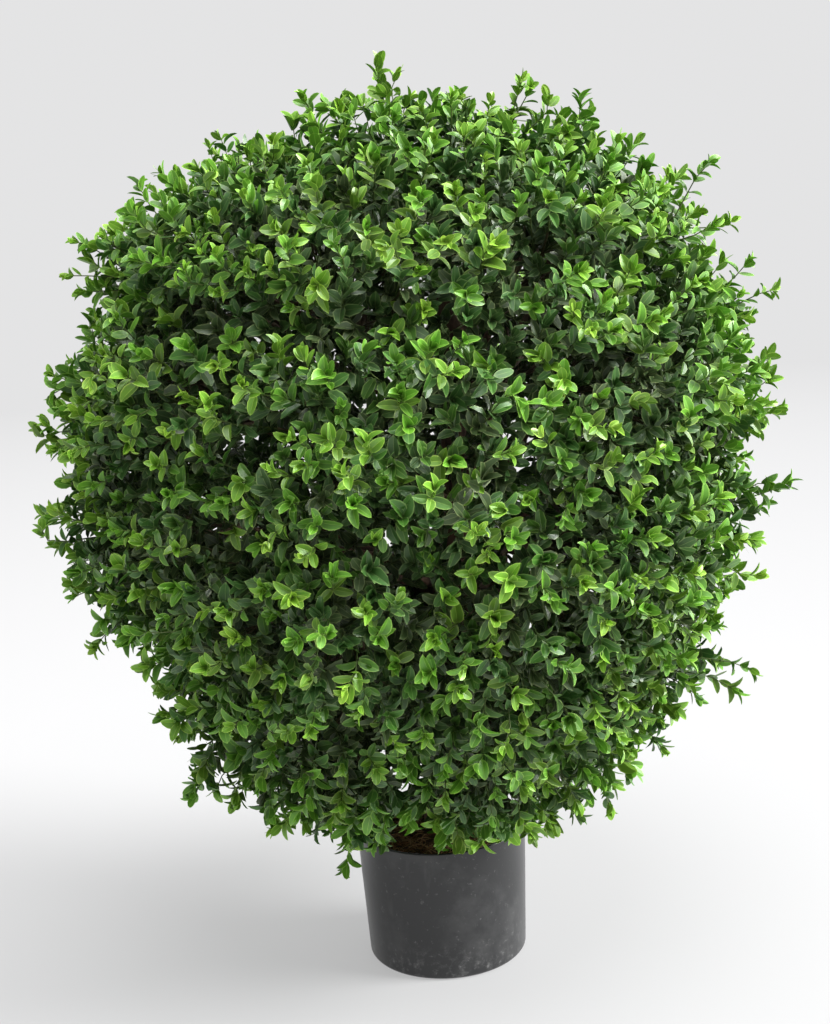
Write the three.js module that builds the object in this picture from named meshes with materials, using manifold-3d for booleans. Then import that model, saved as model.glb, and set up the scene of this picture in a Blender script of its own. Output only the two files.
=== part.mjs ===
// Artificial boxwood ball on a wooden stem, set in a round nursery pot.
// Millimetres, +Z up. The origin is the centre of the pot's flat underside.

import * as THREE from 'three';
import { mergeVertices } from 'three/addons/utils/BufferGeometryUtils.js';
import Module from 'manifold-3d';

const wasm = await Module();
wasm.setup();

// ---------------------------------------------------------------- driving dimensions

const CLEARANCE = 0.3; // left between pieces that touch

// A thin, slightly tapered moulded pot with a rounded foot and a plain thickened lip.
const POT = {
  height: 140,
  rimRadius: 88,
  baseRadius: 82,
  wall: 2.4,
  floor: 3,
  footRound: 5,
  lipHeight: 7,
  lipThickness: 3.4,
  sides: 40,
};

// The set filling that grips the stem, and the coir that hides it.
const FILL = { top: 116 };
const COIR = { edgeTop: 127, middleTop: 137, sides: 28 };

// The stem leans to the right on its way up, then straightens.
const TRUNK = {
  path: [
    [0, 0, POT.floor + CLEARANCE],
    [1, 0, 110],
    [12, 0, 235],
    [27, 0, 385],
    [38, 0, 500],
    [45, 0, 712],
  ],
  footRadius: 22.5,
  tipRadius: 15,
  sides: 12,
  steps: 11,
};

// The clipped ball is a thick hollow shell of foliage, round its own centre.
const CROWN = {
  centre: [-4.5, 0, 524],
  hollowRadius: 180,
  azimuthSteps: 42,
  polarSteps: 5,
  capPolar: 25,
  capSteps: 3,
  capReach: 376,
  furrowDepth: 25, // how far each mass falls away towards its borders
  furrowSharpness: 4,
  lump: 9, // height of the smaller lumps on every mass
  polarSway: 4, // degrees that the borders between rings wander
  azimuthSway: 6, // degrees that the borders within a ring wander
};

// Rings of foliage masses from the top down. Polar angles are degrees from straight up, `turn`
// is the azimuth step where the first mass starts, and `reach` is how far each mass extends.
// `drawnIn` is how much less far it extends at its upper border, where the ball has a waist.
const RINGS = [
  {
    name: 'upper',
    polar: [25, 58],
    turn: -3,
    reach: [392, 386, 380, 384, 380, 384],
    boughHeight: 566,
  },
  {
    name: 'shoulder',
    polar: [58, 90],
    turn: -2,
    reach: [364, 374, 372, 372, 370, 374, 378],
    boughHeight: 490,
  },
  {
    name: 'waist',
    polar: [90, 122],
    turn: -4,
    reach: [350, 374, 370, 370, 360, 380, 372],
    boughHeight: 404,
  },
  {
    name: 'skirt',
    polar: [122, 164],
    turn: -5,
    reach: [391, 390, 386, 396, 395, 390],
    drawnIn: [14, 14, 18, 50, 26, 10],
    boughHeight: 374,
    openBelow: true, // the last border hangs free over the pot, so it keeps its full reach
  },
];

const BOUGH = {
  baseRadius: 5.5,
  tipRadius: 3.4,
  stagger: 8, // neighbouring boughs leave the trunk this far above and below each other
  overrun: 12, // made this much too long, then trimmed at the foliage
  sides: 6,
  steps: 4,
};

// ---------------------------------------------------------------- materials

function finish(color, roughness) {
  return new THREE.MeshStandardMaterial({ color, roughness, metalness: 0 });
}

const FINISHES = {
  pot: () => finish(0x2b2c2e, 0.6),
  fill: () => finish(0x6b665e, 0.95),
  coir: () => finish(0x6f5233, 0.95),
  bark: () => finish(0x4a3422, 0.85),
  bough: () => finish(0x3a3a22, 0.8),
  foliage: () => finish(0x3a7a1e, 0.4),
};

// ---------------------------------------------------------------- solids

// A closed solid from a three.js geometry, with its shared vertices merged.
function solidOf(geometry) {
  const bare = geometry.clone();
  bare.deleteAttribute('normal');
  bare.deleteAttribute('uv');
  const merged = mergeVertices(bare, 1e-4);
  return new wasm.Manifold(
    new wasm.Mesh({
      numProp: 3,
      vertProperties: new Float32Array(merged.attributes.position.array),
      triVerts: new Uint32Array(merged.index.array),
    }),
  );
}

function geometryOf(solid) {
  const mesh = solid.getMesh();
  const geometry = new THREE.BufferGeometry();
  geometry.setAttribute('position', new THREE.BufferAttribute(mesh.vertProperties, 3));
  geometry.setIndex(new THREE.BufferAttribute(mesh.triVerts, 1));
  geometry.computeVertexNormals();
  return geometry;
}

// Moves every vertex of a geometry to the point that `place(x, y, z)` returns.
function reshaped(geometry, place) {
  const position = geometry.attributes.position;
  for (let i = 0; i < position.count; i += 1) {
    const point = place(position.getX(i), position.getY(i), position.getZ(i));
    position.setXYZ(i, point.x, point.y, point.z);
  }
  return geometry;
}

// A round turned solid: the profile's points are [radius, height].
function turned(profile, sides) {
  const points = profile.map(([radius, height]) => new THREE.Vector2(radius, height));
  const lathe = new THREE.LatheGeometry(points, sides);
  return lathe.rotateX(Math.PI / 2);
}

// A tapering limb of round section along a curve. `side` is square to the plane the limb bends in.
function limb(curve, side, baseRadius, tipRadius, sides, steps) {
  const blank = new THREE.CylinderGeometry(1, 1, 1, sides, steps);
  return reshaped(blank, (x, y, z) => {
    const along = y + 0.5;
    const across = new THREE.Vector3().crossVectors(side, curve.getTangent(along));
    const radius = THREE.MathUtils.lerp(baseRadius, tipRadius, along);
    return curve
      .getPoint(along)
      .addScaledVector(side, x * radius)
      .addScaledVector(across, z * radius);
  });
}

// ---------------------------------------------------------------- pot, fill and coir

function potRadius(height) {
  return THREE.MathUtils.lerp(POT.baseRadius, POT.rimRadius, height / POT.height);
}

function potGeometry() {
  const round = POT.footRound;
  const profile = [[0, 0]];
  for (const angle of [0, 30, 60, 90]) {
    const turn = THREE.MathUtils.degToRad(angle);
    profile.push([
      potRadius(round) - round + round * Math.sin(turn),
      round - round * Math.cos(turn),
    ]);
  }
  const lipFoot = POT.height - POT.lipHeight;
  profile.push(
    [POT.rimRadius, POT.height],
    [POT.rimRadius - POT.lipThickness, POT.height],
    [potRadius(lipFoot) - POT.lipThickness, lipFoot],
    [potRadius(lipFoot) - POT.wall, lipFoot - 1],
    [potRadius(round) - POT.wall, round],
    [potRadius(0) - round, POT.floor],
    [0, POT.floor],
  );
  return turned(profile, POT.sides);
}

function fillGeometry(trunkRoom) {
  const bottom = POT.floor + CLEARANCE;
  const inset = POT.wall + CLEARANCE * 2;
  const block = turned(
    [
      [0, bottom],
      [potRadius(0) - POT.footRound - CLEARANCE, bottom],
      [potRadius(POT.footRound) - inset, POT.footRound + CLEARANCE],
      [potRadius(FILL.top) - inset, FILL.top],
      [0, FILL.top],
    ],
    POT.sides,
  );
  return geometryOf(solidOf(block).subtract(trunkRoom));
}

// A low, uneven dome of coir, highest at the trunk.
function coirGeometry(trunkRoom) {
  const bottom = FILL.top + CLEARANCE;
  const edge = potRadius(bottom) - POT.wall - CLEARANCE * 3;
  const middle = edge * 0.45;
  const dome = turned(
    [
      [0, bottom],
      [edge, bottom],
      [edge, COIR.edgeTop],
      [edge * 0.75, (COIR.edgeTop + COIR.middleTop) / 2],
      [middle, COIR.middleTop],
      [0, COIR.middleTop],
    ],
    COIR.sides,
  );
  reshaped(dome, (x, y, z) => {
    const ripple = z > bottom + 1 ? 1.5 * Math.sin(x / 11) * Math.cos(y / 13) : 0;
    return new THREE.Vector3(x, y, z + ripple);
  });
  return geometryOf(solidOf(dome).subtract(trunkRoom));
}

// ---------------------------------------------------------------- trunk

const trunkCurve = new THREE.CatmullRomCurve3(
  TRUNK.path.map((point) => new THREE.Vector3(...point)),
  false,
  'centripetal',
);

function trunkLimb(extraRadius) {
  return limb(
    trunkCurve,
    new THREE.Vector3(0, 1, 0),
    TRUNK.footRadius + extraRadius,
    TRUNK.tipRadius + extraRadius,
    TRUNK.sides,
    TRUNK.steps,
  );
}

// The point on the trunk's centre line at a height.
function trunkAxisAt(height) {
  let low = 0;
  let high = 1;
  for (let pass = 0; pass < 30; pass += 1) {
    const middle = (low + high) / 2;
    if (trunkCurve.getPoint(middle).z < height) {
      low = middle;
    } else {
      high = middle;
    }
  }
  return trunkCurve.getPoint(low);
}

// ---------------------------------------------------------------- crown

const AZIMUTH_STEP = 360 / CROWN.azimuthSteps;
const crownCentre = new THREE.Vector3(...CROWN.centre);
const seamAngle = THREE.MathUtils.radToDeg(CLEARANCE / 2 / CROWN.hollowRadius);

// The unit direction out of the crown's centre. The lattice of azimuth and polar angles wanders
// a little, so that no border between masses is a straight line.
function crownDirection(azimuth, polar) {
  const a = THREE.MathUtils.degToRad(azimuth);
  const p = THREE.MathUtils.degToRad(polar);
  const swayedPolar = p + THREE.MathUtils.degToRad(CROWN.polarSway) * Math.sin(3 * a) * Math.sin(p);
  const swayedAzimuth = a + THREE.MathUtils.degToRad(CROWN.azimuthSway) * Math.sin(3 * p);
  return new THREE.Vector3().setFromSphericalCoords(1, swayedPolar, swayedAzimuth + Math.PI / 2)
    .applyAxisAngle(new THREE.Vector3(1, 0, 0), Math.PI / 2);
}

function crownPoint(azimuth, polar, radius) {
  return crownDirection(azimuth, polar).multiplyScalar(radius).add(crownCentre);
}

// The smaller lumps, the same for every mass.
function lumps(azimuth, polar) {
  const a = THREE.MathUtils.degToRad(azimuth);
  const p = THREE.MathUtils.degToRad(polar);
  const coarse = Math.sin(5 * a + 7 * p) * Math.sin(6 * p + 1);
  const fine = Math.sin(13 * a - 4 * p) * Math.sin(11 * p);
  return CROWN.lump * Math.sin(p) * (0.6 * coarse + 0.4 * fine);
}

// How far a mass has fallen away, from 0 in its middle to its furrow's depth at a border.
function furrow(edgeNearness) {
  return CROWN.furrowDepth * edgeNearness ** CROWN.furrowSharpness;
}

// One mass of a ring: a block of azimuth, polar angle and depth, bent into a piece of the shell.
function massGeometry(ring, index) {
  const share = CROWN.azimuthSteps / ring.reach.length;
  const firstAzimuth = (ring.turn + index * share) * AZIMUTH_STEP;
  const width = share * AZIMUTH_STEP;
  const [topPolar, bottomPolar] = ring.polar;
  const height = bottomPolar - topPolar;
  const block = new THREE.BoxGeometry(2, 2, 1, share, CROWN.polarSteps, 1);
  return reshaped(block, (x, y, z) => {
    const azimuth = firstAzimuth + ((x + 1) / 2) * width - x * (Math.abs(x) > 0.999 ? seamAngle : 0);
    const polar = topPolar + ((1 - y) / 2) * height + y * (Math.abs(y) > 0.999 ? seamAngle : 0);
    const below = ring.openBelow && y < 0;
    const nearness = Math.max(Math.abs(x), below ? 0 : Math.abs(y));
    const drawnIn = ring.drawnIn ? (ring.drawnIn[index] * (1 + y)) / 2 : 0;
    const outer = ring.reach[index] - drawnIn - furrow(nearness) + lumps(azimuth, polar);
    return crownPoint(azimuth, polar, z > 0 ? outer : CROWN.hollowRadius);
  });
}

// The round mass that closes the crown's top.
function capGeometry() {
  const profile = [];
  for (let step = 0; step <= CROWN.capSteps; step += 1) {
    profile.push([(CROWN.capPolar * step) / CROWN.capSteps, 0]);
  }
  for (let step = CROWN.capSteps; step >= 0; step -= 1) {
    profile.push([(CROWN.capPolar * step) / CROWN.capSteps, 1]);
  }
  const points = profile.map(([polar, depth]) => new THREE.Vector2(polar, depth));
  const disc = new THREE.LatheGeometry(points, CROWN.azimuthSteps);
  return reshaped(disc, (x, depth, z) => {
    const polar = Math.hypot(x, z);
    const azimuth = THREE.MathUtils.radToDeg(Math.atan2(x, z));
    const nearness = polar / CROWN.capPolar;
    const seam = nearness > 0.999 ? seamAngle : 0;
    const outer = CROWN.capReach - furrow(nearness) + lumps(azimuth, polar);
    return crownPoint(azimuth, polar - seam, depth > 0.5 ? outer : CROWN.hollowRadius);
  });
}

// The hollow inside the shell, on the same lattice, drawn in by the clearance.
function hollowGeometry() {
  const polars = [0];
  for (let step = 1; step <= CROWN.capSteps; step += 1) {
    polars.push((CROWN.capPolar * step) / CROWN.capSteps);
  }
  for (const ring of RINGS) {
    const [top, bottom] = ring.polar;
    for (let step = 1; step <= CROWN.polarSteps; step += 1) {
      polars.push(top + ((bottom - top) * step) / CROWN.polarSteps);
    }
  }
  polars.push(180);
  const points = polars.reverse().map((polar) => new THREE.Vector2(Math.min(polar, 180 - polar), -polar));
  const ball = new THREE.LatheGeometry(points, CROWN.azimuthSteps);
  return reshaped(ball, (x, y, z) => {
    const azimuth = THREE.MathUtils.radToDeg(Math.atan2(x, z));
    return crownPoint(azimuth, -y, CROWN.hollowRadius - CLEARANCE);
  });
}

// ---------------------------------------------------------------- boughs

// One bough: it leaves the trunk, rises outwards and ends where it meets its mass of foliage.
function boughGeometry(ring, index, hollow, trunkRoom) {
  const share = CROWN.azimuthSteps / ring.reach.length;
  const azimuth = (ring.turn + (index + 0.5) * share) * AZIMUTH_STEP;
  const polar = (ring.polar[0] + ring.polar[1]) / 2;
  const end = crownPoint(azimuth, polar, CROWN.hollowRadius + BOUGH.overrun);
  const stagger = index % 2 === 0 ? BOUGH.stagger : -BOUGH.stagger;
  const start = trunkAxisAt(ring.boughHeight + stagger);
  const outward = new THREE.Vector3(end.x - start.x, end.y - start.y, 0);
  const side = new THREE.Vector3(-outward.y, outward.x, 0).normalize();
  const middle = start.clone().addScaledVector(outward, 0.5);
  middle.z = THREE.MathUtils.lerp(start.z, end.z, 0.3);
  const curve = new THREE.QuadraticBezierCurve3(start, middle, end);
  const rod = limb(curve, side, BOUGH.baseRadius, BOUGH.tipRadius, BOUGH.sides, BOUGH.steps);
  return geometryOf(solidOf(rod).intersect(hollow).subtract(trunkRoom));
}

// ---------------------------------------------------------------- assembly

const group = new THREE.Group();

function addPiece(name, geometry, material) {
  const mesh = new THREE.Mesh(geometry, material);
  mesh.name = name;
  group.add(mesh);
}

const trunkRoom = solidOf(trunkLimb(CLEARANCE));
const hollow = solidOf(hollowGeometry());
const capRoom = solidOf(capGeometry()).translate([0, 0, -CLEARANCE]);

addPiece('pot', potGeometry(), FINISHES.pot());
addPiece('pot_fill', fillGeometry(trunkRoom), FINISHES.fill());
addPiece('coir_top', coirGeometry(trunkRoom), FINISHES.coir());
addPiece('trunk', geometryOf(solidOf(trunkLimb(0)).subtract(capRoom)), FINISHES.bark());
addPiece('foliage_top', capGeometry(), FINISHES.foliage());

for (const ring of RINGS) {
  ring.reach.forEach((_, index) => {
    const number = index + 1;
    const bough = boughGeometry(ring, index, hollow, trunkRoom);
    const mass = massGeometry(ring, index);
    addPiece(`bough_${ring.name}_${number}`, bough, FINISHES.bough());
    addPiece(`foliage_${ring.name}_${number}`, mass, FINISHES.foliage());
  });
}

export default group;
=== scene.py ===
import math
import random

import bmesh
import bpy
import numpy as np
from mathutils import Matrix, Vector, noise


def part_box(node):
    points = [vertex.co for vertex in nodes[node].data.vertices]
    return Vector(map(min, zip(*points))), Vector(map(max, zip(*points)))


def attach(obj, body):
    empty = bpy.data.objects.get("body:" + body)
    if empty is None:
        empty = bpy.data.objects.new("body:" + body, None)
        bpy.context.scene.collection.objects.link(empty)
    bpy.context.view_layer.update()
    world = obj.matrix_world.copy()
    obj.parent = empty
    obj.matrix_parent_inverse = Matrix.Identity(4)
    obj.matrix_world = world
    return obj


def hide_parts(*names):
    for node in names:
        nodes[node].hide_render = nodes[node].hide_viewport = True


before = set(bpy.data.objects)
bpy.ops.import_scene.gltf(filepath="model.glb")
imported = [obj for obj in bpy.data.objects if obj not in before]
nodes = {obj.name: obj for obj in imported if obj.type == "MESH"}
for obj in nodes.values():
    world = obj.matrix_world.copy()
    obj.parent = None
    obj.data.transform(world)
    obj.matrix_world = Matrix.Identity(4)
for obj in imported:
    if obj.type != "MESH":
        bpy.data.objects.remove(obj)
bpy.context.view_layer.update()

# ------------------------------------------------------------------------------------------ pot
# A round nursery pot, blown from thin black polypropylene in one piece. It has a rounded foot, a
# wall that opens a little upwards and a plain thickened lip, and it stands on its flat underside.
POT_SEGMENTS = 96
POT_WALL = 0.0024
POT_FLOOR = 0.003
POT_TAPER = 0.006
FOOT_ROUND = 0.005
FOOT_RECESS = 0.0012
LIP_HEIGHT = 0.007
LIP_THICKNESS = 0.0034
LIP_ROUND = 0.0012
POT_WAVINESS = 0.00035

pot_low, pot_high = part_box("pot")
pot_height = pot_high.z
rim_radius = (pot_high.x - pot_low.x) / 2
foot_radius = rim_radius - POT_TAPER


def wall_radius(height):
    """The pot's outside radius at a height."""
    return foot_radius + POT_TAPER * height / pot_height


def turned(name, profile, segments):
    """A bmesh turned about the pot's axis from a profile of radius and height."""
    bm = bmesh.new()
    points = [bm.verts.new((radius, 0, height)) for radius, height in profile]
    edges = [bm.edges.new(pair) for pair in zip(points, points[1:])]
    bmesh.ops.spin(
        bm,
        geom=points + edges,
        cent=(0, 0, 0),
        axis=(0, 0, 1),
        angle=math.tau,
        steps=segments,
        use_merge=True,
    )
    bmesh.ops.remove_doubles(bm, verts=bm.verts, dist=1e-6)
    bmesh.ops.recalc_face_normals(bm, faces=bm.faces)
    return bm


def rings_at(bm, radius, height):
    """The edges of a turned bmesh that run round it at one radius and height."""
    return [
        edge
        for edge in bm.edges
        if all(
            abs(vert.co.z - height) < 1e-5 and abs(vert.co.xy.length - radius) < 1e-5
            for vert in edge.verts
        )
    ]


def rounded(bm, edges, width, segments):
    bmesh.ops.bevel(
        bm,
        geom=edges,
        offset=width,
        offset_type="OFFSET",
        segments=segments,
        profile=0.5,
        affect="EDGES",
        material=-1,
    )


def piece(name, mesh, material, smooth=True):
    """A new object for a mesh, shaded smooth and with one material."""
    if isinstance(mesh, bmesh.types.BMesh):
        bm, mesh = mesh, bpy.data.meshes.new(name)
        bm.to_mesh(mesh)
        bm.free()
    if smooth:
        mesh.shade_smooth()
    mesh.materials.append(material)
    made = bpy.data.objects.new(name, mesh)
    bpy.context.scene.collection.objects.link(made)
    return made


def finish(name, **values):
    """A new material. `values` are the shader's settings that are the same all over it."""
    material = bpy.data.materials.new(name)
    material.use_nodes = True
    shader = material.node_tree.nodes["Principled BSDF"]
    for socket, value in values.items():
        shader.inputs[socket.replace("_", " ").title()].default_value = value
    return material


def add(tree, kind, inputs=(), **settings):
    """Adds a shader node. Each input is a value, or the output that feeds it."""
    made = tree.nodes.new("ShaderNode" + kind)
    for key, value in settings.items():
        setattr(made, key, value)
    for socket, value in dict(inputs).items():
        if isinstance(value, bpy.types.NodeSocket):
            tree.links.new(value, made.inputs[socket])
        else:
            made.inputs[socket].default_value = value
    return made


def mottle(tree, where, scale, detail=4, roughness=0.6, stretch=(1, 1, 1)):
    """Noise over a piece, as a value of 0 to 1."""
    drawn = add(tree, "Mapping", {"Vector": where, "Scale": stretch})
    return add(
        tree,
        "TexNoise",
        {"Vector": drawn.outputs[0], "Scale": scale, "Detail": detail, "Roughness": roughness},
    ).outputs["Fac"]


def graded(tree, value, low, high, to_low=0.0, to_high=1.0):
    """A value stretched from low..high to to_low..to_high, and held there."""
    return add(
        tree,
        "MapRange",
        {"Value": value, "From Min": low, "From Max": high, "To Min": to_low, "To Max": to_high},
    ).outputs[0]


def times(tree, first, second, operation="MULTIPLY"):
    return add(tree, "Math", {0: first, 1: second}, operation=operation).outputs[0]


def blended(tree, amount, first, second):
    """A colour between two others."""
    mix = add(tree, "Mix", {"Factor": amount}, data_type="RGBA")
    for socket, value in ((mix.inputs[6], first), (mix.inputs[7], second)):
        if isinstance(value, bpy.types.NodeSocket):
            tree.links.new(value, socket)
        else:
            socket.default_value = value
    return mix.outputs[2]


def wear(material, average, colour=None, roughness=None, height=None, strength=0.3, depth=0.001):
    """Feeds a material's shader. `average` is its mean colour, for viewers that read no nodes."""
    tree = material.node_tree
    shader = tree.nodes["Principled BSDF"]
    shader.inputs["Base Color"].default_value = average
    if colour:
        tree.links.new(colour, shader.inputs["Base Color"])
    if roughness:
        tree.links.new(roughness, shader.inputs["Roughness"])
    if height:
        bump = add(tree, "Bump", {"Strength": strength, "Distance": depth, "Height": height})
        tree.links.new(bump.outputs[0], shader.inputs["Normal"])


lip_foot = pot_height - LIP_HEIGHT
recess_radius = foot_radius - FOOT_ROUND - 0.006
pot = turned(
    "pot",
    [
        (0, FOOT_RECESS),
        (recess_radius - FOOT_RECESS, FOOT_RECESS),
        (recess_radius, 0),
        (foot_radius, 0),
        (wall_radius(pot_height * 0.33), pot_height * 0.33),
        (wall_radius(pot_height * 0.66), pot_height * 0.66),
        (wall_radius(lip_foot) - 0.0004, lip_foot),
        (wall_radius(lip_foot + 0.001), lip_foot + 0.001),
        (rim_radius, pot_height),
        (rim_radius - LIP_THICKNESS, pot_height),
        (wall_radius(lip_foot) - LIP_THICKNESS, lip_foot),
        (wall_radius(lip_foot) - POT_WALL, lip_foot - 0.001),
        (foot_radius - POT_WALL, FOOT_ROUND),
        (foot_radius - FOOT_ROUND, POT_FLOOR),
        (0, POT_FLOOR),
    ],
    POT_SEGMENTS,
)
rounded(pot, rings_at(pot, foot_radius, 0), FOOT_ROUND, 7)
for lip_radius in (rim_radius, rim_radius - LIP_THICKNESS):
    rounded(pot, rings_at(pot, lip_radius, pot_height), LIP_ROUND, 3)
for vert in pot.verts:
    if FOOT_ROUND < vert.co.z < lip_foot + 0.0005:
        sway = noise.noise(vert.co * 22) * POT_WAVINESS
        vert.co.xy *= 1 + sway / max(vert.co.xy.length, 0.01)

pot_plastic = finish("pot_plastic", roughness=0.42)
tree = pot_plastic.node_tree
at = add(tree, "TexCoord").outputs["Object"]
height_up = add(tree, "SeparateXYZ", {0: at}).outputs[2]
near_foot = graded(tree, height_up, 0.045, 0.004)
clouds = graded(tree, mottle(tree, at, 13, 7, 0.66), 0.50, 0.74)
specks = graded(tree, mottle(tree, at, 190, 3, 0.7), 0.63, 0.70)
scratches = graded(tree, mottle(tree, at, 60, 5, 0.65, (1, 1, 0.18)), 0.60, 0.74)
foot_dust = times(tree, near_foot, graded(tree, mottle(tree, at, 95, 6, 0.75), 0.50, 0.68))
dust = times(tree, times(tree, clouds, 0.24), times(tree, foot_dust, 0.60), "ADD")
dust = times(tree, dust, times(tree, specks, 0.34), "ADD")
dust = times(tree, dust, times(tree, scratches, 0.18), "ADD")
wear(
    pot_plastic,
    (0.034, 0.035, 0.036, 1),
    blended(tree, dust, (0.022, 0.0225, 0.0235, 1), (0.18, 0.18, 0.178, 1)),
    graded(tree, dust, 0.0, 0.7, 0.31, 0.70),
    times(tree, mottle(tree, at, 420, 2), times(tree, scratches, 0.6), "ADD"),
    0.10,
    0.0004,
)
pot_shell = piece("pot_shell", pot, pot_plastic)
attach(pot_shell, "root")
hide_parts("pot")

# ------------------------------------------------------------------------------------- pot fill
# The set filling in the pot, a grey plaster poured round the foot of the stem. It weighs the
# pot down and grips the stem. The coir hides it.
plaster = finish("plaster", roughness=0.92)
tree = plaster.node_tree
at = add(tree, "TexCoord").outputs["Object"]
grit = mottle(tree, at, 150, 6)
wear(
    plaster,
    (0.15, 0.14, 0.125, 1),
    blended(tree, graded(tree, grit, 0.35, 0.65), (0.12, 0.11, 0.098, 1), (0.19, 0.18, 0.16, 1)),
    None,
    grit,
    0.5,
)
for slot in nodes["pot_fill"].material_slots:
    slot.material = plaster

# ----------------------------------------------------------------------------------------- coir
# Loose coconut fibre, pressed into a low mound over the filling. It is a bed of matted fibre
# with single strands that stick out of it.
COIR_RINGS = 14
COIR_SEGMENTS = 72
COIR_ROUGHNESS = 0.0028
COIR_EDGE = 0.0105  # the mound's depth at its edge
STRANDS = 1500
STRAND_RADIUS = 0.00035
STRAND_POINTS = 5

coir_low, coir_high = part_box("coir_top")
coir_radius = (coir_high.x - coir_low.x) / 2
coir_edge_height = coir_low.z + COIR_EDGE
coir_random = random.Random(11)


def coir_height(radius):
    """The height of the mound's top at a distance from the pot's axis."""
    rise = coir_high.z - 0.0015 - coir_edge_height
    return coir_edge_height + rise * (0.5 + 0.5 * math.cos(math.pi * min(1, radius / coir_radius)))


coir = turned(
    "coir",
    [(0, coir_low.z), (coir_radius, coir_low.z)]
    + [
        (coir_radius * (1 - step / COIR_RINGS), coir_height(coir_radius * (1 - step / COIR_RINGS)))
        for step in range(COIR_RINGS + 1)
    ],
    COIR_SEGMENTS,
)
for vert in coir.verts:
    if vert.co.z > coir_low.z + 0.002:
        lump = noise.noise(vert.co * 60) + 0.6 * noise.noise(vert.co * 170)
        inside = min(1, (coir_radius - vert.co.xy.length) / 0.004)
        vert.co.z += lump * COIR_ROUGHNESS * max(0, inside)

coir_fibre = finish("coir_fibre", roughness=0.9)
tree = coir_fibre.node_tree
at = add(tree, "TexCoord").outputs["Object"]
matted = mottle(tree, at, 120, 8, 0.75)
wear(
    coir_fibre,
    (0.11, 0.062, 0.030, 1),
    blended(
        tree,
        graded(tree, matted, 0.38, 0.62),
        (0.035, 0.020, 0.011, 1),
        (0.22, 0.125, 0.058, 1),
    ),
    None,
    matted,
    0.9,
    0.002,
)
coir_mound = piece("coir_mound", coir, coir_fibre)
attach(coir_mound, "root")
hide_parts("coir_top")


def tubes(name, paths, radii, material):
    """One mesh of thin round stems, each along its own row of points with a radius at each."""
    curve = bpy.data.curves.new(name, "CURVE")
    curve.dimensions = "3D"
    curve.bevel_depth = 1
    curve.bevel_resolution = 0
    curve.use_fill_caps = True
    for points, thickness in zip(paths, radii):
        spline = curve.splines.new("POLY")
        spline.points.add(len(points) - 1)
        at_points = np.ones((len(points), 4))
        at_points[:, :3] = points
        spline.points.foreach_set("co", at_points.ravel())
        spline.points.foreach_set("radius", np.asarray(thickness, float))
    holder = bpy.data.objects.new(name + "_path", curve)
    bpy.context.scene.collection.objects.link(holder)
    mesh = bpy.data.meshes.new_from_object(holder)
    bpy.data.objects.remove(holder)
    bpy.data.curves.remove(curve)
    mesh.name = name
    for unused in list(mesh.uv_layers):
        mesh.uv_layers.remove(unused)
    mesh.materials.clear()
    return piece(name, mesh, material)


def pattern(name, inputs, outputs):
    """A new node group, the inputs that it is given, and the outputs that it shows."""
    group = bpy.data.node_groups.new(name, "ShaderNodeTree")
    for side, sockets in (("INPUT", inputs), ("OUTPUT", outputs)):
        for socket, kind in sockets.items():
            group.interface.new_socket(socket, in_out=side, socket_type="NodeSocket" + kind)
    taken = group.nodes.new("NodeGroupInput").outputs
    return group, taken, group.nodes.new("NodeGroupOutput").inputs


two_tones, given, shown = pattern(
    "two_tones",
    {"Place": "Vector", "Scale": "Float", "Dull": "Color", "Bright": "Color"},
    {"Colour": "Color"},
)
amount = graded(two_tones, mottle(two_tones, given["Place"], given["Scale"]), 0.4, 0.6)
mixed = blended(two_tones, amount, given["Dull"], given["Bright"])
two_tones.links.new(mixed, shown["Colour"])


def two_tone_finish(name, dull, bright, scale, roughness):
    """A finish that is mottled between two colours."""
    material = finish(name, roughness=roughness)
    tree = material.node_tree
    at = add(tree, "TexCoord").outputs["Object"]
    values = {"Place": at, "Scale": scale, "Dull": dull, "Bright": bright}
    average = tuple((low + high) / 2 for low, high in zip(dull, bright))
    wear(material, average, add(tree, "Group", values, node_tree=two_tones).outputs["Colour"])
    return material


strand_paths = []
strand_radii = []
for _ in range(STRANDS):
    radius = coir_radius * math.sqrt(coir_random.uniform(0.06, 1))
    round_pot = coir_random.uniform(0, math.tau)
    heading = coir_random.uniform(0, math.tau)
    length = coir_random.uniform(0.010, 0.028)
    rise = coir_random.uniform(0.000, 0.007) * coir_random.random()
    bend = coir_random.uniform(-1.6, 1.6)
    points = []
    x, y = radius * math.cos(round_pot), radius * math.sin(round_pot)
    for step in range(STRAND_POINTS):
        along = step / (STRAND_POINTS - 1)
        reach = min(1, 0.985 * coir_radius / max(math.hypot(x, y), 1e-6))
        x, y = x * reach, y * reach
        arch = math.sin(math.pi * along) * rise + 0.0008
        points.append((x, y, coir_height(math.hypot(x, y)) + arch))
        x += length / (STRAND_POINTS - 1) * math.cos(heading + bend * along)
        y += length / (STRAND_POINTS - 1) * math.sin(heading + bend * along)
    strand_paths.append(points)
    strand_radii.append([STRAND_RADIUS * coir_random.uniform(0.7, 1.5)] * STRAND_POINTS)
STRAND_COLOURS = {
    "pale": ((0.36, 0.21, 0.095, 1), (0.50, 0.33, 0.17, 1)),
    "red": ((0.20, 0.085, 0.032, 1), (0.30, 0.14, 0.06, 1)),
    "dark": ((0.045, 0.026, 0.014, 1), (0.085, 0.048, 0.024, 1)),
}
for number, (shade, colours) in enumerate(STRAND_COLOURS.items()):
    strands = tubes(
        "coir_strands_" + shade,
        strand_paths[number::3],
        strand_radii[number::3],
        two_tone_finish("coir_strand_" + shade, *colours, 90, 0.7),
    )
    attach(strands, "root")

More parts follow.
